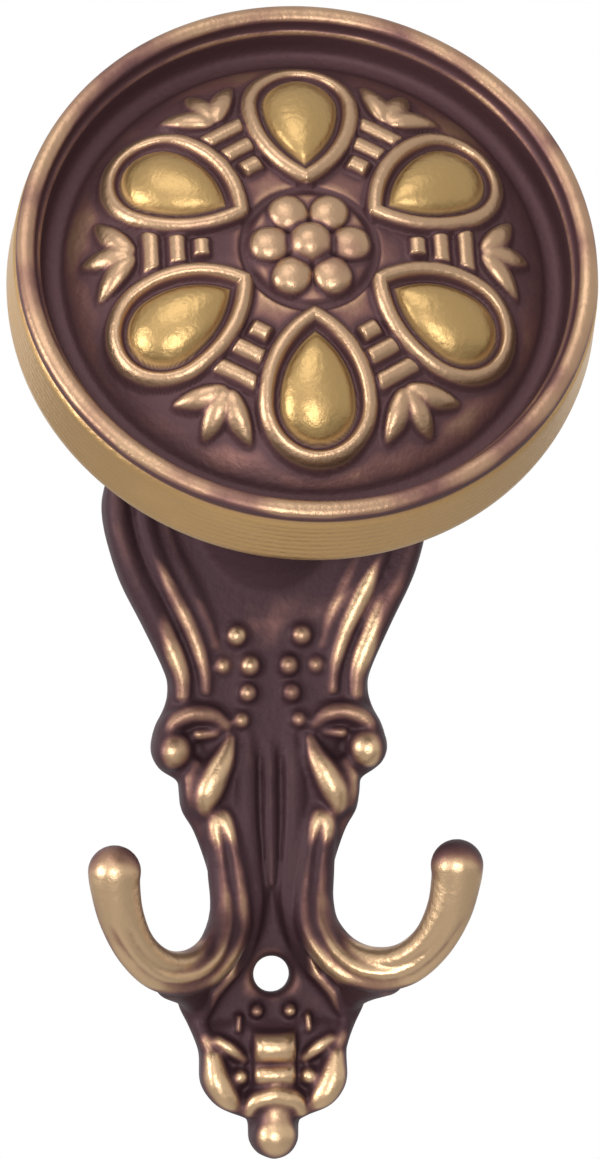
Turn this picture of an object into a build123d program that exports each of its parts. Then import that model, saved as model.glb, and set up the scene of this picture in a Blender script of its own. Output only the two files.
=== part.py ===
from build123d import *
import os
from math import asin, cos, pi, radians, sin, tan

# Cast brass coat hook. Sizes are in millimetres.
# X runs to the right, Y into the wall and Z up.
# The origin lies on the wall face, half way between the two wall screws.

# Wall screws
screw_spacing = 78.0
screw_hole_diameter = 4.0
screw_head_diameter = 5.4
screw_head_angle = 90.0
lower_screw_z = -screw_spacing / 2

# Back plate: half widths, with heights and drops taken from the lower screw
plate_thickness = 3.0
ear_radius = 6.2
nape_half_width = 9.0
nape_height = 68.0
flare_half_width = 18.1
flare_height = 51.5
waist_half_width = 11.1
waist_height = 32.0
volute_half_width = 13.1
volute_height = 25.4
notch_half_width = 9.9
notch_height = 21.4
leaf_half_width = 9.8
leaf_height = 18.6
stem_half_width = 7.0
stem_height = 10.8
wing_half_width = 11.0
wing_drop = 2.8
chin_hollow_half_width = 9.1
chin_hollow_drop = 6.4
chin_top_drop = 9.0
chin_half_width = 8.1
chin_drop = 12.2
chin_end_half_width = 5.4
chin_end_drop = 14.9
finial_neck_half_width = 3.0
finial_neck_drop = 16.0
finial_radius = 2.75
finial_drop = 20.3

# Neck that carries the knob
neck_height = 53.4
knob_tilt = 25.0
neck_length = 42.0
neck_flute = ((13.7, -3.1), (7.8, 5.2), (5.2, 22.0))

# Side hooks
arm_diameter = 5.4
arm_sides = 8
arm_root_side = 5.7
arm_root_reach = 2.2
arm_tip_side = 18.4
arm_tip_reach = 18.2
arm_tip_height = 11.4
arm_tip_diameter = 6.0
arm_tip_step = 1.6
arm_tip_taper = 20.0
arm_cap_step = 1.0
arm_cap_taper = 52.0
scroll_length = 6.2
scroll_taper = 7.0

# Relief of the back plate, drawn flat over the lower screw and then laid on the plate's front
strand_sides = 4
strand_lift = 0.1
rib_radius = 1.05
rib_insets = (0.9, 2.9, 4.9)
rib_bow = 0.3
relief_sink = 0.6
bead_sides = 8
bead_radius = 1.3
bead_rise = 1.1
bead_taper = 28.0
boss_sides = 8
boss_step = 0.5
boss_taper = 12.0
boss_cap_radius = 0.82
boss_cap_step = 0.35
boss_cap_taper = 40.0
groove_width = 0.9
groove_depth = 0.6
groove_top = 22.0
groove_bottom = 8.5
tablet_width = 5.0
tablet_height = 3.6
tablet_rise = 1.7
tablet_taper = 18.0
tablet_drop = 8.4

# Bent strands of the relief: radius, then the start, the middle and the end of the arc
# Each point is a distance from the plate's middle and a height from the lower screw.
volute_strap = (1.1, (5.2, 28.0), (9.6, 29.2), (12.2, 25.4))
leaf_strand = (1.4, (4.4, 26.2), (6.0, 22.6), (7.6, 19.3))
edge_band = (1.0, (8.0, 17.6), (6.4, 11.0), (8.6, 4.6))
inner_band = (0.9, (1.5, 18.0), (2.4, 10.5), (6.2, 2.0))
root_band = (1.2, (3.4, 12.0), (5.0, 6.4), (10.0, 0.8))
chin_scroll = (1.6, (8.1, -5.2), (7.0, -9.4), (5.2, -13.2))
strands = (volute_strap, leaf_strand, edge_band, inner_band, root_band, chin_scroll)

# Round ornament, by its distance from the plate's middle and its height from the lower screw
bead_places = ((3.6, 37.4), (2.1, 34.1), (5.3, 34.1), (2.3, 31.1), (3.2, 28.1), (3.7, -11.3))
boss_places = ((10.4, 25.2, 1.9), (9.0, 20.6, 1.3), (4.9, -7.5, 1.0))
middle_bosses = ((0, -14.2, 2.9), (0, -17.6, 2.7))

# Rosette knob, with depths taken from the top of its rim
knob_radius = 30.0
knob_depth = 12.0
band_lean = 0.6
band_depth = 8.8
band_wall = 2.2
rim_width = 2.0
rim_crest = 0.7
moat_depth = 4.6
moat_lean = 0.8
moat_width = 2.2
shoulder_width = 3.0
face_depth = 0.9
web_thickness = 2.6
boss_radius = 7.2
rim_front_radius = knob_radius - band_lean
rim_inner_radius = rim_front_radius - rim_width
moat_outer_radius = rim_inner_radius - moat_lean
face_radius = moat_outer_radius - moat_width
face_edge_radius = face_radius - shoulder_width
web_back_depth = moat_depth + web_thickness

# Flower in the middle of the face
flower_radius = 5.1
flower_rise = 1.0
flower_sides = 18
flower_taper = 25.0
flower_lobe_ring = 3.4
flower_lobe_radius = 1.6
flower_lobe_rise = 0.8
flower_lobe_taper = 30.0
flower_lobe_sides = 8
flower_bead_radius = 2.2
flower_bead_rise = 1.4
flower_bead_taper = 32.0

# Petals of the rosette, six around the flower
petal_count = 6
petal_sink = 2.0
ridge_width = 1.7
ridge_rise = 1.1
ridge_taper = 18.0
ridge_gap = 2.1
ridge_head_radius = 5.2
ridge_overhang = 0.2
drop_side_steps = 3
drop_head_steps = 4
ridge_apex = flower_radius + ridge_gap
ridge_head = face_edge_radius - ridge_head_radius + ridge_overhang
drop_gap = 1.4
drop_step = 0.9
drop_taper = 16.0
drop_cap_inset = 0.45
drop_cap_apex_inset = 0.9
drop_cap_sink = 0.2
drop_cap_step = 0.9
drop_cap_taper = 60.0
drop_head_radius = ridge_head_radius - drop_gap
drop_apex = ridge_apex + drop_gap
drop_cap_radius = drop_head_radius - drop_cap_inset

# Palmettes in the gaps between the petals: three bands and three fronds
band_ring = 10.9
band_pitch = 2.1
band_lengths = (2.4, 3.4, 4.4)
band_width = 1.3
band_rise = 1.0
band_taper = 18.0
frond_gap = 2.4
frond_length = 4.4
frond_width = 2.0
frond_spread = 34.0
frond_ring = band_ring + 2 * band_pitch + frond_gap

# Stud that holds the knob on the neck
stud_diameter = 5.9
stud_clearance = 0.1
stud_engagement = 8.0
stud_end_gap = 0.5
stud_hole_diameter = stud_diameter + stud_clearance

# Directions and planes of the knob, which leans up from the wall
tilt = radians(knob_tilt)
knob_direction = Vector(0, -cos(tilt), sin(tilt))
neck_root = Vector(0, 0, lower_screw_z + neck_height)
seat_centre = neck_root + knob_direction * neck_length
rim_centre = seat_centre + knob_direction * knob_depth
knob_axis = Axis(neck_root, knob_direction)
side_direction = Vector(1, 0, 0)
plate_front = Plane((0, -plate_thickness, lower_screw_z), x_dir=side_direction, z_dir=(0, -1, 0))


def axial_plane(origin):
    """Plane through the knob's axis: local X is the radius, local Y points forward."""
    return Plane(origin, x_dir=side_direction, z_dir=side_direction.cross(knob_direction))


def face_plane(angle):
    """Plane on the knob's face, with its local X running outwards at an angle."""
    upward = knob_direction.cross(side_direction)
    outward = side_direction * cos(radians(angle)) + upward * sin(radians(angle))
    return Plane(rim_centre - knob_direction * face_depth, x_dir=outward, z_dir=knob_direction)


def halfway(start, end):
    """Point in the middle between two points."""
    return ((start[0] + end[0]) / 2, (start[1] + end[1]) / 2)


def drop_half(apex, head, head_radius):
    """Corners of one half of a drop: a bent side from its point, then its round head."""
    side_radius = ((head - apex) ** 2 + head_radius**2) / (2 * head_radius)
    side_angle = asin((head - apex) / side_radius)
    corners = []
    for step in range(drop_side_steps):
        angle = side_angle * (1 - step / drop_side_steps)
        rise = head_radius - side_radius * (1 - cos(angle))
        corners.append((head - side_radius * sin(angle), rise))
    for step in range(drop_head_steps + 1):
        angle = pi / 2 * step / drop_head_steps
        corners.append((head + head_radius * sin(angle), head_radius * cos(angle)))
    return corners


# Relief of the plate, made flat: ribs, strands, beads and bosses of one half and their mirror
with BuildPart() as relief:
    for inset in rib_insets:
        rib_start = (flare_half_width - inset, flare_height)
        rib_end = (waist_half_width - inset, waist_height)
        rib_bend_side, rib_bend_height = halfway(rib_start, rib_end)
        with BuildLine(Plane.XY.offset(strand_lift)):
            rib_path = ThreePointArc(rib_start, (rib_bend_side + rib_bow, rib_bend_height), rib_end)
        with BuildSketch(Plane(rib_path @ 0, x_dir=(0, 0, 1), z_dir=rib_path % 0)):
            RegularPolygon(rib_radius, strand_sides)
        sweep(path=rib_path)

    for strand_radius, strand_start, strand_bend, strand_end in strands:
        with BuildLine(Plane.XY.offset(strand_lift)):
            strand_path = ThreePointArc(strand_start, strand_bend, strand_end)
        with BuildSketch(Plane(strand_path @ 0, x_dir=(0, 0, 1), z_dir=strand_path % 0)):
            RegularPolygon(strand_radius, strand_sides)
        sweep(path=strand_path)

    with BuildSketch(Plane.XY.offset(-relief_sink)):
        with Locations(*bead_places):
            RegularPolygon(bead_radius, bead_sides)
    extrude(amount=relief_sink + bead_rise, taper=bead_taper)
    mirror(about=Plane.YZ)

    left_bosses = [(-side_offset, height, radius) for side_offset, height, radius in boss_places]
    for side_offset, height, radius in (*boss_places, *left_bosses, *middle_bosses):
        with BuildSketch(Plane.XY.offset(-relief_sink)):
            with Locations((side_offset, height)):
                RegularPolygon(radius, boss_sides)
        extrude(amount=relief_sink + boss_step * radius, taper=boss_taper)
        with BuildSketch(Plane.XY.offset(boss_step * radius)):
            with Locations((side_offset, height)):
                RegularPolygon(boss_cap_radius * radius, boss_sides)
        extrude(amount=boss_cap_step * radius, taper=boss_cap_taper)

    with BuildSketch(Plane.XY.offset(-relief_sink)):
        with Locations((0, -tablet_drop)):
            Rectangle(tablet_width, tablet_height)
    extrude(amount=relief_sink + tablet_rise, taper=tablet_taper)

# Back plate, neck, side hooks and finial, cast in one piece
with BuildPart() as hook_casting:
    with BuildSketch(Plane.XZ.shift_origin((0, 0, lower_screw_z))):
        with BuildLine():
            ear_side = (ear_radius, screw_spacing)
            nape = (nape_half_width, nape_height)
            flare = (flare_half_width, flare_height)
            waist = (waist_half_width, waist_height)
            volute = (volute_half_width, volute_height)
            notch = (notch_half_width, notch_height)
            leaf = (leaf_half_width, leaf_height)
            stem = (stem_half_width, stem_height)
            wing = (wing_half_width, -wing_drop)
            chin_hollow = (chin_hollow_half_width, -chin_hollow_drop)
            chin_top = (chin_half_width, -chin_top_drop)
            chin = (chin_half_width, -chin_drop)
            chin_end = (chin_end_half_width, -chin_end_drop)
            finial_side = (finial_radius, finial_radius - finial_drop)
            RadiusArc((0, screw_spacing + ear_radius), ear_side, ear_radius)
            ThreePointArc(ear_side, nape, halfway(nape, flare))
            ThreePointArc(halfway(nape, flare), flare, halfway(flare, waist))
            ThreePointArc(halfway(flare, waist), waist, halfway(waist, volute))
            ThreePointArc(halfway(waist, volute), volute, halfway(volute, notch))
            Line(halfway(volute, notch), notch)
            ThreePointArc(notch, leaf, halfway(leaf, stem))
            ThreePointArc(halfway(leaf, stem), stem, halfway(stem, wing))
            Line(halfway(stem, wing), wing)
            ThreePointArc(wing, chin_hollow, chin_top)
            ThreePointArc(chin_top, chin, chin_end)
            Polyline(chin_end, (finial_neck_half_width, -finial_neck_drop), finial_side)
            RadiusArc(finial_side, (0, -finial_drop), finial_radius)
            mirror(about=Plane.YZ)
        make_face()
    extrude(amount=plate_thickness)

    # Neck, a trumpet that spreads over the plate
    with BuildSketch(axial_plane(neck_root)):
        with BuildLine():
            root_radius = neck_flute[0][0]
            neck_radius, flute_length = neck_flute[-1]
            Polyline((0, neck_length), (0, -root_radius), (root_radius, -root_radius), *neck_flute)
            Polyline((neck_radius, flute_length), (neck_radius, neck_length), (0, neck_length))
        make_face()
    revolve(axis=knob_axis)

    # Side hooks: half a ring that stands out from the plate, between a scroll and a round tip
    for side in (-1, 1):
        arm_start = Vector(side * arm_root_side, -arm_root_reach, lower_screw_z + arm_tip_height)
        arm_tip = Vector(side * arm_tip_side, -arm_tip_reach, lower_screw_z + arm_tip_height)
        arm_middle = (arm_start + arm_tip) / 2
        with BuildSketch(Plane(arm_start, x_dir=arm_tip - arm_start, z_dir=(0, 0, 1))):
            RegularPolygon(arm_diameter / 2, arm_sides)
        ring_direction = Vector(0, 0, 1).cross(arm_tip - arm_start)
        revolve(axis=Axis(arm_middle, ring_direction), revolution_arc=-180)
        with BuildSketch(Plane(arm_start, x_dir=arm_tip - arm_start, z_dir=(0, 0, 1))):
            RegularPolygon(arm_diameter / 2, arm_sides)
        extrude(amount=scroll_length, taper=scroll_taper)
        for step in (-arm_tip_step, arm_tip_step):
            with BuildSketch(Plane(arm_tip, x_dir=arm_tip - arm_start, z_dir=(0, 0, 1))):
                RegularPolygon(arm_tip_diameter / 2, arm_sides)
            extrude(amount=step, taper=arm_tip_taper)
        cap_radius = arm_tip_diameter / 2 - arm_tip_step * tan(radians(arm_tip_taper))
        cap_centre = arm_tip + Vector(0, 0, arm_tip_step)
        with BuildSketch(Plane(cap_centre, x_dir=arm_tip - arm_start, z_dir=(0, 0, 1))):
            RegularPolygon(cap_radius, arm_sides)
        extrude(amount=arm_cap_step, taper=arm_cap_taper)

    # Relief on the front of the plate
    with Locations(plate_front):
        add(relief.part)

    # Groove down the middle of the stem
    with BuildSketch(plate_front):
        with Locations((0, (groove_top + groove_bottom) / 2)):
            Rectangle(groove_width, groove_top - groove_bottom)
    extrude(amount=-groove_depth, mode=Mode.SUBTRACT)

    # The back is ground flat to lie on the wall
    split(bisect_by=Plane.XZ, keep=Keep.TOP)

    # Countersunk holes for the wall screws
    with Locations(plate_front):
        with Locations((0, 0), (0, screw_spacing)):
            CounterSinkHole(
                radius=screw_hole_diameter / 2,
                counter_sink_radius=screw_head_diameter / 2,
                depth=plate_thickness,
                counter_sink_angle=screw_head_angle,
            )

    # Blind hole for the stud
    with Locations(Plane(seat_centre, x_dir=side_direction, z_dir=knob_direction)):
        Hole(radius=stud_hole_diameter / 2, depth=stud_engagement + stud_end_gap)

hook_casting.part.label = "hook_casting"

# One petal of the rosette, made flat: a raised drop inside a drop-shaped ridge
with BuildPart() as petal:
    with BuildSketch(Plane.XY.offset(-petal_sink)):
        for half_width in (ridge_width / 2, -ridge_width / 2):
            with BuildLine():
                ridge_corners = drop_half(
                    ridge_apex - half_width, ridge_head, ridge_head_radius + half_width
                )
                Polyline(*ridge_corners)
                mirror(about=Plane.XZ)
            make_face(mode=Mode.ADD if half_width > 0 else Mode.SUBTRACT)
    extrude(amount=petal_sink + ridge_rise, taper=ridge_taper)
    with BuildSketch(Plane.XY.offset(-petal_sink)):
        with BuildLine():
            Polyline(*drop_half(drop_apex, ridge_head, drop_head_radius))
            mirror(about=Plane.XZ)
        make_face()
    extrude(amount=petal_sink + drop_step, taper=drop_taper)
    with BuildSketch(Plane.XY.offset(drop_step - drop_cap_sink)):
        with BuildLine():
            Polyline(*drop_half(drop_apex + drop_cap_apex_inset, ridge_head, drop_cap_radius))
            mirror(about=Plane.XZ)
        make_face()
    extrude(amount=drop_cap_step, taper=drop_cap_taper)

# One palmette, made flat: three bands across the gap and three fronds beyond them
with BuildPart() as palmette:
    with BuildSketch(Plane.XY.offset(-petal_sink)):
        for step, band_length in enumerate(band_lengths):
            with Locations((band_ring + step * band_pitch, 0)):
                Rectangle(band_width, band_length)
    extrude(amount=petal_sink + band_rise, taper=band_taper)
    for turn in (-frond_spread, 0, frond_spread):
        with BuildSketch(Plane.XY.offset(-petal_sink)):
            with Locations(Pos(frond_ring, 0) * Rot(0, 0, turn) * Pos(frond_length / 2, 0)):
                Polygon(
                    (-frond_length / 2, 0),
                    (0, -frond_width / 2),
                    (frond_length / 4, -frond_width / 2),
                    (frond_length / 2, 0),
                    (frond_length / 4, frond_width / 2),
                    (0, frond_width / 2),
                )
        extrude(amount=petal_sink + band_rise, taper=band_taper)

# Rosette knob: rim band, dished back and face with its ornament
with BuildPart() as rosette_knob:
    with BuildSketch(axial_plane(rim_centre)):
        with BuildLine():
            crest_middle = (rim_front_radius + rim_inner_radius) / 2
            Polyline(
                (0, -face_depth),
                (0, -knob_depth),
                (boss_radius, -knob_depth),
                (boss_radius, -web_back_depth),
                (knob_radius - band_wall, -web_back_depth),
                (knob_radius - band_wall, -band_depth),
                (knob_radius, -band_depth),
                (rim_front_radius, -rim_crest),
                (crest_middle, 0),
                (rim_inner_radius, -rim_crest),
                (moat_outer_radius, -moat_depth),
                (face_radius, -moat_depth),
                (face_edge_radius, -face_depth),
                (0, -face_depth),
            )
        make_face()
    revolve(axis=knob_axis)

    petal_turn = 360 / petal_count
    with Locations(*[face_plane(90 + step * petal_turn) for step in range(petal_count)]):
        add(petal.part)
    with Locations(*[face_plane(90 + (step + 0.5) * petal_turn) for step in range(petal_count)]):
        add(palmette.part)

    # Flower: a low boss with six lobes around a bead
    flower_plane = face_plane(0)
    with BuildSketch(flower_plane.offset(-petal_sink)):
        RegularPolygon(flower_radius, flower_sides)
    extrude(amount=petal_sink + flower_rise, taper=flower_taper)
    with BuildSketch(flower_plane.offset(flower_rise - petal_sink)):
        with PolarLocations(flower_lobe_ring, petal_count, start_angle=petal_turn / 2):
            RegularPolygon(flower_lobe_radius, flower_lobe_sides)
    extrude(amount=petal_sink + flower_lobe_rise, taper=flower_lobe_taper)
    with BuildSketch(flower_plane.offset(flower_rise)):
        RegularPolygon(flower_bead_radius, boss_sides)
    extrude(amount=flower_bead_rise, taper=flower_bead_taper)

    # Blind hole for the stud
    with Locations(Plane(seat_centre, x_dir=side_direction, z_dir=-knob_direction)):
        Hole(radius=stud_hole_diameter / 2, depth=stud_engagement + stud_end_gap)

rosette_knob.part.label = "rosette_knob"

# Threaded stud that joins the knob to the neck
with BuildPart() as knob_stud:
    with BuildSketch(Plane(seat_centre - knob_direction * stud_engagement, z_dir=knob_direction)):
        Circle(stud_diameter / 2)
    extrude(amount=2 * stud_engagement)

knob_stud.part.label = "knob_stud"

os.makedirs("parts", exist_ok=True)
export_step(hook_casting.part, "parts/hook_casting.step")
export_step(rosette_knob.part, "parts/rosette_knob.step")
export_step(knob_stud.part, "parts/knob_stud.step")
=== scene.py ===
import math

import bmesh
import bpy
import numpy as np
from mathutils import Matrix, Vector


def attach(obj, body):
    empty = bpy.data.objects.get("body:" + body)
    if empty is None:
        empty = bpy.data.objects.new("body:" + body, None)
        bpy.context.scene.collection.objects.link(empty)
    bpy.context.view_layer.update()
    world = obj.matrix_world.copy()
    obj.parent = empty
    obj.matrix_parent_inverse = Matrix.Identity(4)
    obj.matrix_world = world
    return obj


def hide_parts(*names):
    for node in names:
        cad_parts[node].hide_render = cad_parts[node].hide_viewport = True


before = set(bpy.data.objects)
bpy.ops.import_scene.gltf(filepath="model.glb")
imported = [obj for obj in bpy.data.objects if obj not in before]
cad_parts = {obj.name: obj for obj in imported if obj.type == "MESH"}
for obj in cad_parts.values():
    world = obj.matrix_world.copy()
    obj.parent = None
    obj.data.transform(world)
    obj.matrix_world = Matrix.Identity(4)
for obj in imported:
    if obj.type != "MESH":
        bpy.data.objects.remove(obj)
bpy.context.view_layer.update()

# Camera and studio
# The hook hangs at eye level in a white studio, lit by three softboxes and by the room itself.
# The camera is level and a little to its left, with a long lens that flattens the view.
MM = 0.001
camera_distance = 0.515
camera_side = math.radians(6.0)
camera_roll = math.radians(0.7)
camera_target = Vector((3.85, 0.0, 4.5)) * MM
camera_lens = 144.4
camera_film = 36.0
lamp_target = Vector((0.0, -0.02, 0.0))
room_strength = 0.8
floor_height = -0.8
floor_half_width = 4.2
floor_paint = (0.82, 0.82, 0.82, 1)


def in_scene(name, data):
    """Add an object that holds a mesh, a lamp or the camera."""
    added = bpy.data.objects.new(name, data)
    bpy.context.scene.collection.objects.link(added)
    return added


camera = in_scene("camera", bpy.data.cameras.new("camera"))
camera.data.lens = camera_lens
camera.data.sensor_width = camera_film
camera.data.clip_start = 0.01
camera.data.clip_end = 50.0
to_camera = Vector((-math.sin(camera_side), -math.cos(camera_side), 0.0))
camera.location = camera_target + to_camera * camera_distance
level_view = (-to_camera).to_track_quat("-Z", "Y")
camera.rotation_mode = "QUATERNION"
camera.rotation_quaternion = level_view @ Matrix.Rotation(-camera_roll, 3, "Z").to_quaternion()
bpy.context.scene.camera = camera
bpy.context.scene.view_settings.view_transform = "Standard"


def softbox(name, place, size, power):
    """Add a square studio lamp that faces the hook."""
    lamp = in_scene(name, bpy.data.lights.new(name, "AREA"))
    lamp.data.size = size
    lamp.data.energy = power
    lamp.location = place
    lamp.rotation_mode = "QUATERNION"
    lamp.rotation_quaternion = (lamp_target - Vector(place)).to_track_quat("-Z", "Y")


softbox("front_softbox", place=(-0.10, -0.75, -0.06), size=0.30, power=2.6)
softbox("top_softbox", place=(-0.20, -0.50, 0.60), size=0.50, power=2.0)
softbox("left_softbox", place=(-0.70, -0.30, 0.05), size=0.35, power=3.6)


def combine(tree, operation, *terms, clamp=False):
    """Put sockets or plain numbers through one sum, and give its socket."""
    node = tree.nodes.new("ShaderNodeMath")
    node.operation = operation
    node.use_clamp = clamp
    for socket, term in zip(node.inputs, terms):
        if isinstance(term, bpy.types.NodeSocket):
            tree.links.new(term, socket)
        else:
            socket.default_value = term
    return node.outputs["Value"]


world = bpy.data.worlds.new("studio")
bpy.context.scene.world = world
world.use_nodes = True
studio = world.node_tree
studio.nodes.clear()
room = studio.nodes.new("ShaderNodeBackground")
room.inputs["Strength"].default_value = room_strength
backdrop = studio.nodes.new("ShaderNodeBackground")
backdrop.inputs["Color"].default_value = (1, 1, 1, 1)
rays = studio.nodes.new("ShaderNodeLightPath")
seen = combine(studio, "ADD", rays.outputs["Is Camera Ray"], rays.outputs["Is Glossy Ray"])
seen = combine(studio, "ADD", seen, rays.outputs["Is Transmission Ray"], clamp=True)
choice = studio.nodes.new("ShaderNodeMixShader")
studio.links.new(seen, choice.inputs["Fac"])
studio.links.new(room.outputs["Background"], choice.inputs[1])
studio.links.new(backdrop.outputs["Background"], choice.inputs[2])
surface = studio.nodes.new("ShaderNodeOutputWorld")
studio.links.new(choice.outputs["Shader"], surface.inputs["Surface"])


def mesh_of(name, build):
    """Turn a finished bmesh into a mesh."""
    mesh = bpy.data.meshes.new(name)
    build.to_mesh(mesh)
    build.free()
    return mesh


def plain_surface(name, colour, roughness, metallic=0.0):
    """A material of one even colour."""
    material = bpy.data.materials.new(name)
    material.use_nodes = True
    shader = material.node_tree.nodes["Principled BSDF"]
    shader.inputs["Base Color"].default_value = colour
    shader.inputs["Roughness"].default_value = roughness
    shader.inputs["Metallic"].default_value = metallic
    return material


floor_build = bmesh.new()
bmesh.ops.create_grid(floor_build, x_segments=2, y_segments=2, size=floor_half_width)
bmesh.ops.translate(floor_build, verts=floor_build.verts, vec=(0, 0, floor_height))
floor = in_scene("floor", mesh_of("floor", floor_build))
floor.data.materials.append(plain_surface("pale_floor", floor_paint, roughness=0.9))

# Rosette knob
# A brass casting of its own, turned on its rim band, that leans up on the neck. The domed face
# inside the rim carries six drop petals, a palmette in each gap between them and a flower. Its
# dark antique finish is rubbed off what stands out, and the petals and the band are gilt.
# Faces turned away from its front carry painted shade.
neck_root = Vector((0, 0, 14.4))
neck_length = 42.0
knob_tilt = math.radians(25.0)
knob_depth = 12.0
knob_direction = Vector((0, -math.cos(knob_tilt), math.sin(knob_tilt)))
knob_up = Vector((0, math.sin(knob_tilt), math.cos(knob_tilt)))
knob_frame = Matrix.Identity(4)
for column, axis in enumerate((Vector((1, 0, 0)), knob_up, knob_direction)):
    knob_frame.col[column][:3] = axis
knob_frame.translation = neck_root + knob_direction * (neck_length + knob_depth)

spin_steps = 480
face_rings = 112
face_radius = 25.0
dome_radius = 24.6
dome_edge = -5.0
dome_rise = 6.2
petal_step = 60.0
# Drop outlines: the point, the middle of the round head, and the head's radius
drop_outline = (9.5, 17.0, 3.8)
drop_rise = 2.2
ridge_outline = (7.9, 16.9, 5.1)
ridge_half_width = 1.05
ridge_rise = 1.5
# Palmettes: each bar's place and half length, then each frond's lean, length and half width
palmette_bars = ((10.9, 1.2), (13.3, 1.9), (15.9, 2.6))
bar_rise = 1.2
palmette_fronds = ((0.0, 5.6, 1.5), (0.55, 5.8, 1.5), (-0.55, 5.8, 1.5))
frond_root = 17.2
frond_curl = 0.05
frond_rise = 1.5
bed_rise = 0.35
groove_depth = 0.35
flower_field = 7.2
flower_radius = 6.6
lobe_ring = 4.1
lobe_half_length = 2.3
lobe_half_width = 2.05
lobe_rise = 1.35
bead_radius = 2.35
bead_rise = 2.2
crest_radius = 28.35
crest_half_width = 0.95
crest_rise = 0.65
band_radius = 29.53
band_top = 1.7
band_grooves = 7
groove_pitch = 0.82
band_lean = 0.065
wear_depth = 1.1
# Painted shade on faces turned away from the front
side_painted_shade = 0.22
knob_wear_rounds = 24
knob_patina = (0.075, 0.034, 0.038, 1)
knob_bright = (0.38, 0.245, 0.150, 1)


def smooth_step(value, low, high):
    """Rise softly from 0 at low to 1 at high."""
    share = np.clip((value - low) / (high - low), 0.0, 1.0)
    return share * share * (3.0 - 2.0 * share)


def soft_max(first, second, blend):
    """The higher of two surfaces, joined by a small fillet."""
    near = np.clip(0.5 + 0.5 * (first - second) / blend, 0.0, 1.0)
    return second * (1.0 - near) + first * near + blend * near * (1.0 - near)


def half_round(distance, half_width, rise):
    """A half-round bead, by the distance from its middle."""
    return rise * np.sqrt(np.clip(1.0 - (distance / half_width) ** 2, 0.0, 1.0))


def near_axis(x, y, first_axis):
    """Place along and across the nearest of six axes that fan out from the knob's middle."""
    angle = np.degrees(np.arctan2(y, x))
    turned = (angle - first_axis + petal_step / 2) % petal_step - petal_step / 2
    radius = np.hypot(x, y)
    return radius * np.cos(np.radians(turned)), radius * np.sin(np.radians(turned))


def drop_side_radius(point, head, head_radius):
    """Radius of the arcs that run from a drop's head to its point."""
    return ((head - point) ** 2 + head_radius**2) / (2.0 * head_radius)


def drop_inside(along, across, point, head, head_radius):
    """Depth inside a drop outline."""
    side_radius = drop_side_radius(point, head, head_radius)
    round_end = head_radius - np.hypot(along - head, across)
    side_middle = side_radius - head_radius
    side = side_radius - np.hypot(along - head, np.abs(across) + side_middle)
    return np.where(along > head, round_end, side)


def drop_half_width(along, point, head, head_radius):
    """Half width of a drop outline at each place along its axis."""
    side_radius = drop_side_radius(point, head, head_radius)
    reach = along - head
    tail = np.sqrt(np.clip(side_radius**2 - reach**2, 0, None)) - side_radius + head_radius
    round_end = np.sqrt(np.clip(head_radius**2 - reach**2, 0, None))
    return np.clip(np.where(along > head, round_end, tail), 1e-6, None)


def petal_relief(along, across, in_ridge):
    """A domed drop, a groove round it, and a half-round ridge on a low bed."""
    drop_width = drop_half_width(along, *drop_outline)
    crown = half_round(across, drop_width, 1.0)
    dome = drop_rise * (drop_width / drop_outline[2]) ** 0.7 * crown
    ridge = half_round(np.abs(in_ridge), ridge_half_width, ridge_rise)
    bed = bed_rise * smooth_step(in_ridge, -0.9, 0.0)
    in_drop = drop_inside(along, across, *drop_outline)
    groove = groove_depth * np.exp(-(((in_drop + 0.45) / 0.3) ** 2)) * (in_ridge > 0)
    return soft_max(np.maximum(dome, ridge), bed, 0.15) - groove


def palmette_relief(along, across):
    """Rounded bars across a gap between petals, then three fronds that fan outward."""
    bars = np.zeros_like(along)
    for place, half_length in palmette_bars:
        ends = smooth_step(half_length - np.abs(across), -0.3, 0.5)
        bars = np.maximum(bars, half_round(along - place, ridge_half_width, bar_rise) * ends)
    fronds = np.zeros_like(along)
    for lean, length, half_width in palmette_fronds:
        from_root = along - frond_root
        frond_along = from_root * math.cos(lean) + across * math.sin(lean)
        frond_across = across * math.cos(lean) - from_root * math.sin(lean)
        off_spine = frond_across - frond_curl * np.sign(lean) * frond_along**2
        share = np.clip(frond_along / length, 0.0, 1.0)
        swell = np.sin(np.pi * share**0.9)
        blade = half_round(off_spine, half_width * swell**0.6 + 1e-6, frond_rise * swell**0.5)
        fronds = np.maximum(fronds, np.where((share > 0) & (share < 1), blade, 0.0))
    return soft_max(bars, fronds, 0.1)


def flower_relief(x, y):
    """A low button with six lobes round a bead, in a shallow ring."""
    radius = np.hypot(x, y)
    along, across = near_axis(x, y, first_axis=0.0)
    off_lobe = np.hypot((along - lobe_ring) / lobe_half_length, across / lobe_half_width)
    button = bed_rise * smooth_step(radius, flower_radius, 5.4)
    button = button + half_round(off_lobe, 1.0, lobe_rise)
    bead = np.maximum(half_round(radius, bead_radius, bead_rise) + 0.4, 0.5)
    ring = groove_depth * smooth_step(radius, 5.9, flower_radius)
    return np.where(radius < bead_radius, bead, button) - ring


def knob_relief(x, y):
    """Height of the ornament over the knob's plain face."""
    petal_along, petal_across = near_axis(x, y, first_axis=90.0)
    in_ridge = drop_inside(petal_along, petal_across, *ridge_outline)
    petal = petal_relief(petal_along, petal_across, in_ridge)
    palmette = palmette_relief(*near_axis(x, y, first_axis=120.0))
    ornament = np.maximum(petal, palmette * smooth_step(-in_ridge, 0.75, 1.35))
    return np.where(np.hypot(x, y) < flower_field, flower_relief(x, y), ornament)


def face_level(radius):
    """Height of the plain face: a shallow dome that turns down at its edge."""
    share = np.clip(radius / dome_radius, 0.0, 1.0)
    return dome_edge + dome_rise * (1.0 - share**2.6) ** 0.75


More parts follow.
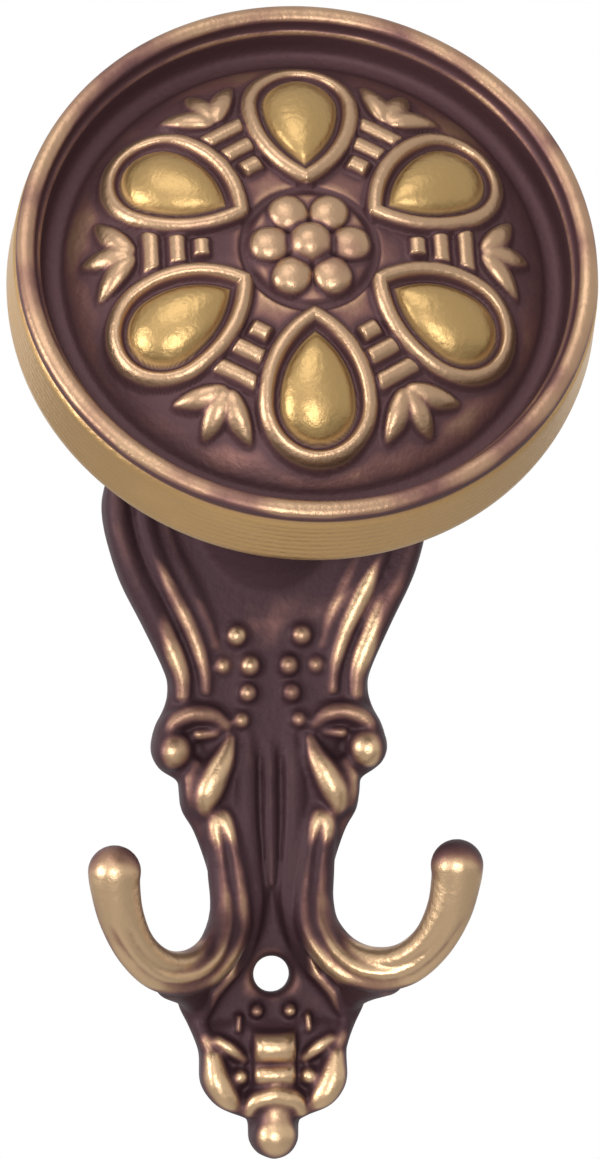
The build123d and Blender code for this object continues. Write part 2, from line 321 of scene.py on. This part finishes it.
def rim_profile():
    """Outline from the face's edge over the rim's crest and its turned band to the stud hole."""
    points = [(25.0, -5.05), (25.6, -5.1), (26.2, -4.9), (26.55, -4.4), (26.7, -3.6)]
    points += [(26.8, -2.6), (26.85, -1.9), (27.1, -1.75), (27.3, -1.55), (27.35, -1.1), (27.4, -0.7)]
    for crest_step in range(9):
        turned = math.pi * (1 - crest_step / 8)
        across = crest_half_width * math.cos(turned)
        points.append((crest_radius + across, crest_rise * (math.sin(turned) - 1)))
    points += [(29.32, -1.0), (29.3, -1.25), (29.22, -1.4), (29.3, -1.55), (29.5, -1.7)]
    for groove in range(1, band_grooves + 1):
        radius = band_radius + band_lean * groove
        depth = band_top + groove_pitch * groove
        points += [(radius + 0.02, 0.12 - depth), (radius, -depth), (radius + 0.04, -depth - 0.12)]
    points += [(30.0, -8.1), (29.95, -8.7), (29.7, -9.1), (29.3, -9.35), (28.6, -9.4), (28.0, -9.3)]
    points += [(27.8, -9.0), (27.75, -8.2), (27.5, -7.5), (27.0, -7.25), (25.0, -7.2), (20.0, -7.2)]
    points += [(14.0, -7.2), (9.0, -7.2), (7.8, -7.35), (7.3, -7.9), (7.2, -8.8), (7.2, -10.5)]
    points += [(7.2, -11.5), (7.0, -11.85), (6.6, -12.0), (3.0, -12.0), (3.0, -3.5), (0.0, -3.5)]
    return points


def spin_outline(build, points, steps, centre=(0, 0, 0), axis=(0, 0, 1)):
    """Turn an outline about an axis into a closed shape."""
    line = [build.verts.new(point) for point in points]
    edges = [build.edges.new(pair) for pair in zip(line, line[1:])]
    bmesh.ops.spin(
        build, geom=line + edges, cent=centre, axis=axis, angle=2 * math.pi, steps=steps, use_merge=True
    )


def vertex_vectors(mesh, name):
    """The places or the normals of all the vertices, one row for each."""
    values = np.empty(len(mesh.vertices) * 3)
    mesh.vertices.foreach_get(name, values)
    return values.reshape(-1, 3)


def neighbour_mean(mesh, vectors, rounds):
    """Average each vertex's vector with its neighbours' a number of times."""
    edges = np.empty(len(mesh.edges) * 2, dtype=np.int64)
    mesh.edges.foreach_get("vertices", edges)
    start, end = edges.reshape(-1, 2).T
    neighbours = np.bincount(edges, minlength=len(vectors)).astype(float)[:, None]
    for _ in range(rounds):
        total = np.zeros_like(vectors)
        np.add.at(total, start, vectors[end])
        np.add.at(total, end, vectors[start])
        vectors = 0.5 * vectors + 0.5 * total / neighbours
    return vectors


def store_wear_and_shade(mesh, rounds, bonus, front):
    """Store how far each vertex stands out of its surroundings as the share that is rubbed, less a painted
    shade on faces turned away from the front.
    """
    normals = vertex_vectors(mesh, "normal")
    places = vertex_vectors(mesh, "co")
    stands_out = np.einsum("ij,ij->i", places - neighbour_mean(mesh, places, rounds), normals)
    # Faces turned away from the front are darkened here: painted shade on the sides, not wear.
    turned_away = 1.0 - np.clip(normals @ np.array(front), 0.0, 1.0)
    wear_and_shade = 0.5 + stands_out / wear_depth - side_painted_shade * turned_away + bonus
    wear_and_shade = np.clip(wear_and_shade, 0.0, 1.0)
    mesh.attributes.new("wear_and_shade", "FLOAT", "POINT").data.foreach_set("value", wear_and_shade)


knob_build = bmesh.new()
face_profile = [(radius, face_level(radius)) for radius in np.linspace(0.0, face_radius, face_rings)]
knob_profile = face_profile[:-1] + rim_profile()
spin_outline(knob_build, [(radius, 0.0, height) for radius, height in knob_profile], spin_steps)
bmesh.ops.remove_doubles(knob_build, verts=knob_build.verts, dist=1e-4)
bmesh.ops.recalc_face_normals(knob_build, faces=knob_build.faces)
knob_mesh = mesh_of("rosette_knob_cast", knob_build)

# The face's relief is pushed up out of the spun dish
knob_places = vertex_vectors(knob_mesh, "co")
knob_x, knob_y = knob_places[:, 0], knob_places[:, 1]
knob_radii = np.hypot(knob_x, knob_y)
on_face = (knob_radii < face_radius + 0.01) & (knob_places[:, 2] > -5.5)
relief = knob_relief(knob_x, knob_y) * smooth_step(knob_radii, dome_radius, 23.2)
knob_places[on_face, 2] += relief[on_face]
knob_mesh.vertices.foreach_set("co", knob_places.ravel())
knob_mesh.update()

# Wear is strongest on the ornament and on the turned band, and gilt covers the petals and the band
on_rim = smooth_step(knob_radii, 26.9, 27.6)
on_band = smooth_step(knob_radii, 29.0, 29.4) * smooth_step(-knob_places[:, 2], 1.2, 1.8)
ornament_wear = np.where(on_face, 0.20 * smooth_step(relief, 0.15, 1.3) + 0.03, -0.02)
knob_bonus = ornament_wear * (1 - on_rim) - 0.04 * on_rim + 0.44 * on_band
# The stored share also carries painted shade on faces turned away from the knob's front.
store_wear_and_shade(knob_mesh, knob_wear_rounds, knob_bonus, front=(0, 0, 1))
in_drop = drop_inside(*near_axis(knob_x, knob_y, first_axis=90.0), *drop_outline)
gilt = np.maximum(smooth_step(in_drop, -0.1, 0.5) * on_face, 0.5 * on_band)
knob_mesh.attributes.new("gilt", "FLOAT", "POINT").data.foreach_set("value", gilt)
knob_mesh.transform(knob_frame)
knob_mesh.transform(Matrix.Scale(MM, 4))
knob_mesh.polygons.foreach_set("use_smooth", [True] * len(knob_mesh.polygons))
knob = in_scene("rosette_knob_cast", knob_mesh)


def noise(tree, where, scale, detail):
    """A cloudy pattern fixed to the piece."""
    node = tree.nodes.new("ShaderNodeTexNoise")
    node.inputs["Scale"].default_value = scale
    node.inputs["Detail"].default_value = detail
    tree.links.new(where, node.inputs["Vector"])
    return node.outputs["Fac"]


def spread(tree, share, start=(0.0, 1.0), end=(0.0, 1.0), kind="LINEAR"):
    """Carry a share from one range over to another."""
    node = tree.nodes.new("ShaderNodeMapRange")
    node.interpolation_type = kind
    for name, value in zip(("From Min", "From Max", "To Min", "To Max"), start + end):
        node.inputs[name].default_value = value
    tree.links.new(share, node.inputs["Value"])
    return node.outputs["Result"]


def tones(tree, share, *steps):
    """Colour a share by steps, each a place from 0 to 1 and a colour."""
    node = tree.nodes.new("ShaderNodeValToRGB")
    elements = node.color_ramp.elements
    for element, (place, colour) in zip(elements, (steps[0], steps[-1])):
        element.position = place
        element.color = colour
    for place, colour in steps[1:-1]:
        elements.new(place).color = colour
    tree.links.new(share, node.inputs["Fac"])
    return node.outputs["Color"]


def stored(tree, name):
    """A value that the mesh holds for each vertex."""
    node = tree.nodes.new("ShaderNodeAttribute")
    node.attribute_name = name
    return node.outputs["Fac"]


def antique_brass(name, patina, bright, rubbed_low, rubbed_high, gilt_share):
    """Brass with a purple-brown patina, rubbed off where the casting stands out; the stored share it reads
    also carries painted shade.
    """
    material = bpy.data.materials.new(name)
    material.use_nodes = True
    tree = material.node_tree
    shader = tree.nodes["Principled BSDF"]
    shader.inputs["Specular IOR Level"].default_value = 0.25
    where = tree.nodes.new("ShaderNodeTexCoord").outputs["Object"]

    # Large patches and small clouds make the wear uneven, about a mean of their own
    patch_depth = 0.55
    cloud_depth = 0.16
    noise_mean = (patch_depth + cloud_depth) / 2
    patches = noise(tree, where, scale=110.0, detail=2.0)
    clouds = noise(tree, where, scale=260.0, detail=5.0)
    wear = combine(tree, "MULTIPLY_ADD", patches, patch_depth, stored(tree, "wear_and_shade"))
    wear = combine(tree, "MULTIPLY_ADD", clouds, cloud_depth, wear)
    wear_range = (rubbed_low + noise_mean, rubbed_high + noise_mean)
    wear_and_shade = spread(tree, wear, start=wear_range, kind="SMOOTHSTEP")
    copper = (0.150, 0.070, 0.062, 1)
    bronze = (0.30, 0.175, 0.115, 1)
    colour = tones(tree, wear_and_shade, (0.0, patina), (0.35, copper), (0.7, bronze), (1.0, bright))

    # Gilt lies over it: pale gold on the band, deeper gold on the petals
    gilt_layer = stored(tree, "gilt")
    gold = tones(tree, gilt_layer, (0.5, (0.52, 0.32, 0.125, 1)), (1.0, (0.36, 0.235, 0.088, 1)))
    cover = combine(tree, "MULTIPLY", gilt_layer, 2.0, clamp=True)
    gilded = tree.nodes.new("ShaderNodeMix")
    gilded.data_type = "RGBA"
    tree.links.new(combine(tree, "MULTIPLY", cover, gilt_share), gilded.inputs["Factor"])
    tree.links.new(colour, gilded.inputs["A"])
    tree.links.new(gold, gilded.inputs["B"])
    tree.links.new(gilded.outputs["Result"], shader.inputs["Base Color"])

    tree.links.new(spread(tree, wear_and_shade, end=(0.35, 0.92)), shader.inputs["Metallic"])
    tree.links.new(spread(tree, wear_and_shade, end=(0.55, 0.36)), shader.inputs["Roughness"])
    grain = tree.nodes.new("ShaderNodeBump")
    grain.inputs["Strength"].default_value = 0.25
    grain.inputs["Distance"].default_value = 0.0003
    tree.links.new(noise(tree, where, scale=1400.0, detail=3.0), grain.inputs["Height"])
    tree.links.new(grain.outputs["Normal"], shader.inputs["Normal"])
    return material


knob_brass = antique_brass(
    "knob_brass", knob_patina, knob_bright, rubbed_low=0.40, rubbed_high=0.78, gilt_share=0.85
)
knob_mesh.materials.append(knob_brass)
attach(knob, "root")
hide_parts("rosette_knob")

# Hook casting
# Back plate, neck, side hooks and finial are one brass casting, antiqued dark in its hollows.
# The wall side is ground flat, and two countersunk screws hold it to the wall. The front carries
# ribs, beads and scrolls that run into the side hooks.
plate_thickness = 3.0
plate_rows = 420
plate_columns = 110
edge_round = 1.3
field_depth = 0.7
screw_height = 39.0
screw_hole_radius = 2.0
screw_sink_radius = 2.7
drill_reach = 3.0
neck_radius = 5.2
neck_root_radius = 13.7
neck_foot = 3.1
stud_hole_radius = 3.0
stud_hole_depth = 8.5
hook_around = 64
hook_radius = 2.4
hook_tip_radius = 2.85
flute_half_angle = 0.22
skin_cell = 0.24
skin_share = 0.55
casting_wear_rounds = 32
casting_patina = (0.048, 0.021, 0.026, 1)
casting_bright = (0.54, 0.37, 0.22, 1)

# Plate outline: height over the lower screw hole, as all heights here, and half width
plate_outline = (
    (-20.3, 0.4), (-19.7, 1.8), (-18.3, 2.7), (-16.0, 2.9), (-15.3, 4.4), (-14.3, 6.3),
    (-13.0, 7.5), (-11.4, 8.1), (-9.0, 8.1), (-7.6, 8.4), (-5.4, 9.3), (-3.8, 10.1),
    (-2.4, 10.5), (-1.0, 10.4), (1.0, 9.6), (3.5, 8.0), (6.0, 6.9), (8.5, 6.6),
    (11.0, 6.8), (13.5, 7.5), (16.1, 8.5), (18.2, 9.7), (20.4, 10.0), (21.5, 10.2),
    (22.7, 12.0), (24.2, 12.9), (25.7, 13.0), (27.6, 12.5), (29.3, 11.6), (31.2, 11.1),
    (33.4, 11.4), (38.6, 13.8), (43.0, 16.0), (46.5, 17.2), (50.0, 18.0), (53.0, 18.0),
    (57.0, 16.6), (62.0, 13.2), (68.0, 10.6), (73.0, 8.6), (78.0, 6.2), (81.0, 5.3),
    (83.3, 3.2), (84.2, 0.4),
)

# Beads run along these lines on both sides of the middle: side, height, half width and rise
flare_ribs = (
    ((16.7, 54.0, 1.3, 1.0), (16.4, 49.5, 1.5, 1.3), (15.1, 45.0, 1.6, 1.5), (13.2, 41.0, 1.6, 1.5),
     (11.4, 37.2, 1.5, 1.4), (9.9, 33.6, 1.3, 1.2), (9.6, 31.0, 1.1, 1.0)),
    ((14.0, 53.0, 1.0, 0.9), (13.2, 48.6, 1.2, 1.1), (11.9, 44.8, 1.3, 1.2), (10.0, 41.0, 1.2, 1.1),
     (8.2, 37.2, 1.1, 0.9), (7.2, 33.8, 0.9, 0.7), (7.0, 31.4, 0.7, 0.5)),
    ((11.6, 50.0, 0.8, 0.4), (10.4, 46.4, 1.0, 0.6), (8.6, 42.8, 1.0, 0.6), (7.0, 39.4, 0.9, 0.5),
     (6.0, 36.4, 0.7, 0.3)),
)
volutes = (
    ((4.9, 27.6, 0.9, 0.9), (6.4, 28.7, 1.2, 1.4), (8.6, 28.9, 1.3, 1.7), (10.6, 28.0, 1.3, 1.6),
     (11.6, 26.6, 1.2, 1.4)),
    ((6.0, 26.8, 0.7, 0.7), (8.0, 26.6, 0.8, 0.9)),
)
stem_leaves = (
    ((4.4, 26.0, 0.8, 0.8), (5.1, 24.0, 1.4, 1.6), (6.1, 22.2, 1.8, 2.1), (6.9, 20.6, 1.9, 2.2),
     (7.4, 19.2, 1.5, 1.7), (7.3, 18.2, 1.0, 1.0)),
    ((8.3, 23.2, 0.9, 1.0), (9.0, 21.6, 1.0, 1.3), (9.1, 20.0, 0.9, 1.3), (8.8, 18.8, 0.7, 0.9)),
    ((2.4, 26.4, 0.6, 0.3), (2.6, 23.4, 1.1, 0.5), (2.7, 20.0, 1.2, 0.5), (2.5, 16.5, 1.1, 0.5),
     (2.1, 12.5, 1.0, 0.5), (1.8, 9.0, 0.9, 0.5)),
    ((0.0, 25.4, 0.5, 0.2), (0.0, 23.0, 0.7, 0.35), (0.0, 17.0, 0.7, 0.35), (0.0, 10.0, 0.5, 0.3)),
)
hook_bands = (
    ((1.7, 10.0, 0.8, 0.6), (1.7, 7.5, 0.8, 0.8), (2.5, 4.0, 0.85, 0.9), (4.5, 0.6, 0.9, 1.1),
     (6.6, -1.9, 0.9, 1.1), (7.8, -4.2, 0.8, 0.7)),
)
chin_ornament = (
    ((3.8, -4.6, 0.5, 0.6), (3.9, -5.9, 0.5, 0.7)),
    ((3.4, -9.1, 0.7, 0.8), (4.8, -8.0, 1.0, 1.5), (6.2, -7.1, 0.9, 1.3)),
    ((8.0, -5.6, 0.9, 0.7), (7.3, -7.6, 1.1, 1.2)),
    ((6.9, -9.2, 1.5, 1.9), (6.5, -11.4, 1.9, 2.5), (5.5, -13.2, 1.8, 2.3), (4.4, -14.3, 1.1, 1.3)),
    ((2.9, -15.0, 1.0, 1.5), (2.1, -13.7, 1.3, 2.2), (0.0, -13.1, 1.5, 2.6)),
    ((0.0, -14.6, 2.2, 2.0), (0.0, -16.4, 2.3, 2.1)),
)
# Round bosses: side, height, radius and rise
bosses_under_neck = (
    (3.6, 37.4, 1.3, 1.3), (2.1, 34.1, 1.3, 1.3), (5.2, 34.1, 1.0, 0.7), (2.4, 31.1, 1.2, 1.2),
    (3.2, 28.1, 1.1, 1.0),
)
volute_bosses = ((10.9, 24.9, 2.4, 2.5),)
chin_bosses = ((1.8, -3.9, 0.85, 0.8), (3.8, -11.1, 1.1, 1.5), (0.0, -17.6, 2.65, 2.6))
# Barrel tablets on the chin: height of the middle, half height and rise
barrel_half_width = 2.5
barrels = ((-7.9, 1.9, 2.7), (-10.9, 1.35, 2.1))

# Each side hook is a tube from its scroll on the stem to its ball tip, and the web under its root
# is two rows of balls: side, depth, height and radius
hook_route = (
    (5.9, -1.3, 18.7, 0.05), (5.88, -1.5, 18.55, 0.8), (5.8, -1.9, 18.0, 1.5), (5.65, -2.3, 17.0, 1.95),
    (5.35, -2.4, 15.6, 2.1), (5.0, -2.3, 14.0, 2.2), (4.6, -2.3, 11.0, 2.4), (4.45, -2.9, 8.0, 2.4),
    (5.0, -4.4, 5.0, 2.4), (7.0, -7.2, 2.3, 2.45), (9.9, -10.3, 1.1, 2.45), (13.2, -13.4, 1.7, 2.35),
    (15.9, -16.0, 4.2, 2.25), (17.6, -17.9, 7.8, 2.45), (18.3, -18.9, 11.3, 2.7),
    (18.35, -19.2, 12.7, hook_tip_radius),
)
web_routes = (
    ((11.6, -10.4, 0.2, 2.1), (10.9, -8.4, -0.2, 2.1), (10.0, -6.2, -0.8, 2.0), (9.1, -4.0, -1.7, 1.8),
     (8.4, -2.4, -2.9, 1.5), (7.9, -1.6, -4.4, 1.2)),
    ((9.6, -8.6, 0.8, 2.2), (8.8, -6.4, 0.6, 2.2), (8.0, -4.4, 0.8, 2.1), (7.0, -2.6, 1.6, 1.9)),
)


def smooth_line(points, steps=6):
    """Run a smooth curve through a few points."""
    points = np.array(points, dtype=float)
    padded = np.vstack((2 * points[0] - points[1], points, 2 * points[-1] - points[-2]))
    line = []
    for before, start, end, after in zip(padded, padded[1:], padded[2:], padded[3:]):
        slope = end - before
        bend = 2 * before - 5 * start + 4 * end - after
        twist = 3 * start - before - 3 * end + after
        for t in np.linspace(0, 1, steps, endpoint=False):
            line.append(0.5 * (2 * start + slope * t + bend * t**2 + twist * t**3))
    return np.array(line + [points[-1]])


def strand(side, height, points):
    """A half-round bead along a smooth line."""
    best = np.zeros_like(side)
    line = smooth_line(points)
    for start, end in zip(line, line[1:]):
        run = end[:2] - start[:2]
        share = ((side - start[0]) * run[0] + (height - start[1]) * run[1]) / (run @ run)
        middle = start + np.clip(share, 0, 1)[:, None] * (end - start)
        apart = np.hypot(side - middle[:, 0], height - middle[:, 1])
        best = np.maximum(best, half_round(apart, middle[:, 2], middle[:, 3]))
    return best


def sunk_relief(side, height):
    """Depth of the field round the screw hole and of the grooves on the stem and the volutes."""
    field_edge = np.interp(height, (-4.5, -1.0, 2.0, 5.0, 9.0), (7.4, 5.4, 3.0, 1.4, 0.6))
    field = smooth_step(field_edge - side, -0.3, 0.7)
    field = field * smooth_step(height, -6.0, -4.5) * smooth_step(-height, -11.5, -9.5)
    groove = 0.6 * np.exp(-(((side - 1.2) / 0.5) ** 2))
    groove = groove * smooth_step(height, 8.0, 11.0) * smooth_step(-height, -26.0, -23.0)
    pits = 0.6 * np.exp(-(((side - 8.0) / 0.7) ** 2) - (((height - 25.0) / 1.4) ** 2))
    return field_depth * field + groove + pits


def plate_relief(side, height, half_width):
    """Rise of the plate's ornament over its plain front, with the cast edge rounded off."""
    side = np.abs(side)
    relief = np.zeros_like(side)
    for line in flare_ribs + volutes + stem_leaves + hook_bands + chin_ornament:
        relief = np.maximum(relief, strand(side, height, line))
    for boss_side, boss_height, radius, rise in bosses_under_neck + volute_bosses + chin_bosses:
        apart = np.hypot(side - boss_side, height - boss_height)
        relief = np.maximum(relief, half_round(apart, radius, rise))
    barrel_ends = np.clip(1 - (side / barrel_half_width) ** 4, 0, 1) ** 0.4
    for middle, half_height, rise in barrels:
        relief = np.maximum(relief, half_round(height - middle, half_height, rise) * barrel_ends)
    relief = relief - sunk_relief(side, height) * smooth_step(-relief, -0.35, -0.02)
    from_edge = np.clip((half_width - side) / edge_round, 0, 1)
    return relief - edge_round * (1 - np.sqrt(1 - (1 - from_edge) ** 2))


def add_part(build, part):
    """Put a finished part of the casting with the others."""
    mesh = mesh_of("part", part)
    build.from_mesh(mesh)
    bpy.data.meshes.remove(mesh)


# Back plate: a grid bent to the outline and the relief, with walls down to its flat back
plate_build = bmesh.new()
bmesh.ops.create_grid(plate_build, x_segments=plate_columns, y_segments=plate_rows, size=1.0)
cells = np.array([vert.co[:2] for vert in plate_build.verts])
outline = smooth_line(plate_outline)
bottom = plate_outline[0][0]
top = plate_outline[-1][0]
plate_height = bottom + (cells[:, 1] + 1) / 2 * (top - bottom)
plate_half_width = np.interp(plate_height, outline[:, 0], outline[:, 1])
plate_side = cells[:, 0] * plate_half_width
plate_front = -(plate_thickness + plate_relief(plate_side, plate_height, plate_half_width))
for vert, x, y, z in zip(plate_build.verts, plate_side, plate_front, plate_height - screw_height):
    vert.co = (x, y, z)
border = [edge for edge in plate_build.edges if edge.is_boundary]
for piece in bmesh.ops.extrude_edge_only(plate_build, edges=border)["geom"]:
    if isinstance(piece, bmesh.types.BMVert):
        piece.co.y = 0.0
back_edges = [edge for edge in plate_build.edges if edge.is_boundary]
bmesh.ops.contextual_create(plate_build, geom=back_edges)
bmesh.ops.recalc_face_normals(plate_build, faces=plate_build.faces)
plate = in_scene("plate", mesh_of("plate", plate_build))

# Countersunk holes for the two wall screws
drill_build = bmesh.new()
for screw_z, front in ((-screw_height, plate_thickness - field_depth), (screw_height, plate_thickness)):
    drill_outline = (
        (0.0, 2.0, screw_z),
        (screw_hole_radius, 2.0, screw_z),
        (screw_hole_radius, screw_sink_radius - screw_hole_radius - front, screw_z),
        (screw_sink_radius + drill_reach, -front - drill_reach, screw_z),
        (0.0, -front - drill_reach, screw_z),
    )
    spin_outline(drill_build, drill_outline, steps=64, centre=(0, 0, screw_z), axis=(0, 1, 0))
bmesh.ops.remove_doubles(drill_build, verts=drill_build.verts, dist=1e-4)
bmesh.ops.recalc_face_normals(drill_build, faces=drill_build.faces)
drill = in_scene("drill", mesh_of("drill", drill_build))
holes = plate.modifiers.new("screw_holes", "BOOLEAN")
holes.operation = "DIFFERENCE"
holes.solver = "EXACT"
holes.object = drill
casting_build = bmesh.new()
casting_build.from_mesh(plate.evaluated_get(bpy.context.evaluated_depsgraph_get()).to_mesh())
for spent in (plate, drill):
    bpy.data.meshes.remove(spent.data)

# Neck: a trumpet spun about the knob's axis, cut off at the wall
trumpet = [(0.0, -neck_root_radius), (neck_root_radius, -neck_root_radius), (neck_root_radius, -neck_foot)]
trumpet += [(12.3, -2.6), (11.2, -1.7), (10.1, -0.3), (9.2, 1.5), (8.4, 4.0), (7.5, 7.5), (6.6, 12.0)]
trumpet += [(5.9, 17.0), (5.4, 21.0), (neck_radius, 24.0), (neck_radius, neck_length)]
trumpet += [(stud_hole_radius, neck_length), (stud_hole_radius, neck_length - stud_hole_depth)]
trumpet += [(0.0, neck_length - stud_hole_depth)]
neck_build = bmesh.new()
spin_outline(neck_build, [(radius, 0.0, along) for radius, along in trumpet], steps=128)
bmesh.ops.remove_doubles(neck_build, verts=neck_build.verts, dist=1e-4)
neck_frame = knob_frame.copy()
neck_frame.translation = neck_root
bmesh.ops.transform(neck_build, matrix=neck_frame, verts=neck_build.verts)
neck_parts = neck_build.verts[:] + neck_build.edges[:] + neck_build.faces[:]
neck_cut = bmesh.ops.bisect_plane(
    neck_build, geom=neck_parts, plane_co=(0, 0, 0), plane_no=(0, 1, 0), clear_outer=True
)["geom_cut"]
cut_edges = [part for part in neck_cut if isinstance(part, bmesh.types.BMEdge)]
bmesh.ops.contextual_create(neck_build, geom=cut_edges)
add_part(casting_build, neck_build)


def placed(route, steps):
    """Smooth a route and bring its heights to the hook's own frame."""
    return smooth_line([(x, y, up - screw_height, radius) for x, y, up, radius in route], steps)


def off_angle(angle, groove):
    """Angle round the tube from a groove, by the shorter way."""
    return (angle - groove + math.pi) % (2 * math.pi) - math.pi


# Side hooks: the tube is closed by a ball tip, and two flutes turn round its front
hook_line = placed(hook_route, steps=8)
tip = hook_line[-1][:3]
ball_tip = []
for cap_step in range(1, 13):
    turned = math.pi / 2 * cap_step / 12
    rise = hook_tip_radius * math.sin(turned)
    ball_tip.append((tip[0], tip[1], tip[2] + rise, max(hook_tip_radius * math.cos(turned), 0.02)))
hook_line = np.vstack((hook_line, ball_tip))
hook_rows = len(hook_line) - 1
web_balls = np.vstack([placed(route, steps=10) for route in web_routes])
spacing = np.linalg.norm(np.diff(hook_line[:, :3], axis=0), axis=1)
lengths = np.concatenate(([0], np.cumsum(spacing)))
tangents = np.gradient(hook_line[:, :3], axis=0)
tangents[-len(ball_tip):] = (0, 0, 1)
tangents /= np.linalg.norm(tangents, axis=1)[:, None]
viewer = np.array((0.0, -1.0, 0.0))
for mirror in (1, -1):
    tube = bmesh.new()
    bmesh.ops.create_grid(tube, x_segments=hook_around, y_segments=hook_rows, size=1.0)
    cells = np.array([vert.co[:2] for vert in tube.verts])
    row = np.rint((cells[:, 1] + 1) / 2 * hook_rows).astype(int)
    angle = (cells[:, 0] + 1) * math.pi
    share = (lengths / lengths[-1])[row]
    tangent = tangents[row]
    ahead = viewer - tangent * (tangent @ viewer)[:, None]
    ahead /= np.linalg.norm(ahead, axis=1)[:, None]
    inward = np.cross(ahead, tangent)
    first_groove = np.radians(np.interp(share, (0, 0.2, 0.5, 0.8), (0, 0, 26, 38)))
    second_groove = np.radians(np.interp(share, (0, 0.4, 0.6, 0.85), (-60, -40, -16, 0)))
    fade = smooth_step(share, 0.02, 0.08) * smooth_step(-share, -0.88, -0.74)
    flute = 0.6 * np.exp(-((off_angle(angle, first_groove) / flute_half_angle) ** 2))
    second = 0.55 * np.exp(-((off_angle(angle, second_groove) / flute_half_angle) ** 2))
    flute = (flute + second * smooth_step(share, 0.30, 0.45)) * fade
    reach = hook_line[row, 3] - flute * np.minimum(hook_line[row, 3] / hook_radius, 1)
    outward = ahead * np.cos(angle)[:, None] - inward * np.sin(angle)[:, None]
    for vert, (x, y, z) in zip(tube.verts, hook_line[row, :3] + outward * reach[:, None]):
        vert.co = (x * mirror, y, z)
    bmesh.ops.remove_doubles(tube, verts=tube.verts, dist=2e-3)
    bmesh.ops.recalc_face_normals(tube, faces=tube.faces)
    tube_parts = tube.verts[:] + tube.edges[:] + tube.faces[:]
    bmesh.ops.bisect_plane(
        tube, geom=tube_parts, plane_co=(0, -0.01, 0), plane_no=(0, 1, 0), clear_outer=True
    )
    open_edges = [edge for edge in tube.edges if edge.is_boundary]
    bmesh.ops.holes_fill(tube, edges=open_edges, sides=0)
    add_part(casting_build, tube)
    for x, y, z, ball_radius in web_balls:
        place = Matrix.Translation((x * mirror, y, z))
        bmesh.ops.create_icosphere(casting_build, subdivisions=3, radius=ball_radius, matrix=place)
bmesh.ops.recalc_face_normals(casting_build, faces=casting_build.faces)

# One skin over plate, neck and hooks, with the fillets that casting leaves
rough_mesh = mesh_of("hook_casting_rough", casting_build)
casting = in_scene("hook_casting_cast", rough_mesh)
skin = casting.modifiers.new("skin", "REMESH")
skin.mode = "VOXEL"
skin.voxel_size = skin_cell
ease = casting.modifiers.new("ease", "SMOOTH")
ease.factor = 0.5
ease.iterations = 8
fewer = casting.modifiers.new("fewer", "DECIMATE")
fewer.ratio = skin_share
settle = casting.modifiers.new("settle", "SMOOTH")
settle.factor = 0.5
settle.iterations = 3
graph = bpy.context.evaluated_depsgraph_get()
casting_mesh = bpy.data.meshes.new_from_object(casting.evaluated_get(graph))
casting_mesh.name = "hook_casting_skin"
casting.modifiers.clear()
casting.data = casting_mesh
bpy.data.meshes.remove(rough_mesh)

# The wall side is flat
casting_places = vertex_vectors(casting_mesh, "co")
casting_places[casting_places[:, 1] > -0.15, 1] = 0.0
casting_mesh.vertices.foreach_set("co", casting_places.ravel())
casting_mesh.update()

# Wear: hands and coats polish the hooks, the ribs and the chin, and the stem stays dark. The web under
# the hook roots is darkened, and painted shade darkens the tops of the hook tips and the neck's root under
# the knob.
side = np.abs(casting_places[:, 0])
up = casting_places[:, 2] + screw_height
depth = -casting_places[:, 1]
over_plate = depth - plate_thickness
off_neck = smooth_step(np.hypot(side, up - screw_height - neck_root.z), 13.8, 14.6)
raised = smooth_step(over_plate, 0.4, 2.2) * off_neck
low = smooth_step(-up, -30.0, -22.0)
on_ribs = smooth_step(side, 6.0, 8.0) * smooth_step(up, 31.0, 35.0) * off_neck
on_ribs = on_ribs * smooth_step(over_plate, 0.2, 0.9)
on_hook = smooth_step(side, 6.0, 12.0) * smooth_step(depth, 6.0, 12.0) * (up < 20)
# Painted shade: the tops of the hook tips are darkened
hook_tip_painted_shade = smooth_step(side, 11.0, 13.0) * smooth_step(up, 10.5, 15.0)
scroll_top = np.exp(-(((side - 5.6) / 2.0) ** 2) - (((up - 17.2) / 1.6) ** 2))
stem = smooth_step(-side, -8.6, -7.6) * smooth_step(up, 2.0, 5.0) * smooth_step(-up, -15.5, -13.5)
channels = smooth_step(-side, -4.2, -3.4) * smooth_step(up, 3.0, 6.0) * smooth_step(-up, -28.0, -26.0)
web = smooth_step(side, 6.5, 8.0) * smooth_step(-up, -0.6, 1.2) * smooth_step(up, -7.0, -5.5)
polished = (0.05 + 0.18 * low) * raised + 0.12 * on_ribs + 0.10 * on_hook + 0.14 * scroll_top
# Darkening: painted shade on the hook tips' tops and on the neck's root under the knob (1 - off_neck),
# dark patina on the stem and channels, and a darker web under the hook roots
tarnish_and_painted_shade = 0.30 * hook_tip_painted_shade + 0.17 * np.maximum(stem, channels) + 0.3 * web + 0.06 * (1 - off_neck)
store_wear_and_shade(casting_mesh, casting_wear_rounds, polished - tarnish_and_painted_shade, front=(0, -1, 0))
casting_mesh.transform(Matrix.Scale(MM, 4))
casting_mesh.polygons.foreach_set("use_smooth", [True] * len(casting_mesh.polygons))
soft_normals = neighbour_mean(casting_mesh, vertex_vectors(casting_mesh, "normal"), rounds=3)
soft_normals /= np.linalg.norm(soft_normals, axis=1)[:, None]
casting_mesh.normals_split_custom_set_from_vertices(soft_normals)
casting_brass = antique_brass(
    "casting_brass", casting_patina, casting_bright, rubbed_low=0.42, rubbed_high=0.82, gilt_share=0.0
)
casting_mesh.materials.append(casting_brass)
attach(casting, "root")
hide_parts("hook_casting")

# Knob stud
# A short threaded stud of plain steel, turned from bar. It is screwed into the neck and into the
# knob's boss, where it can't be seen.
steel_grey = (0.55, 0.55, 0.57, 1)
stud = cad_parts["knob_stud"]
stud.data.materials.clear()
stud.data.materials.append(plain_surface("stud_steel", steel_grey, roughness=0.4, metallic=1.0))
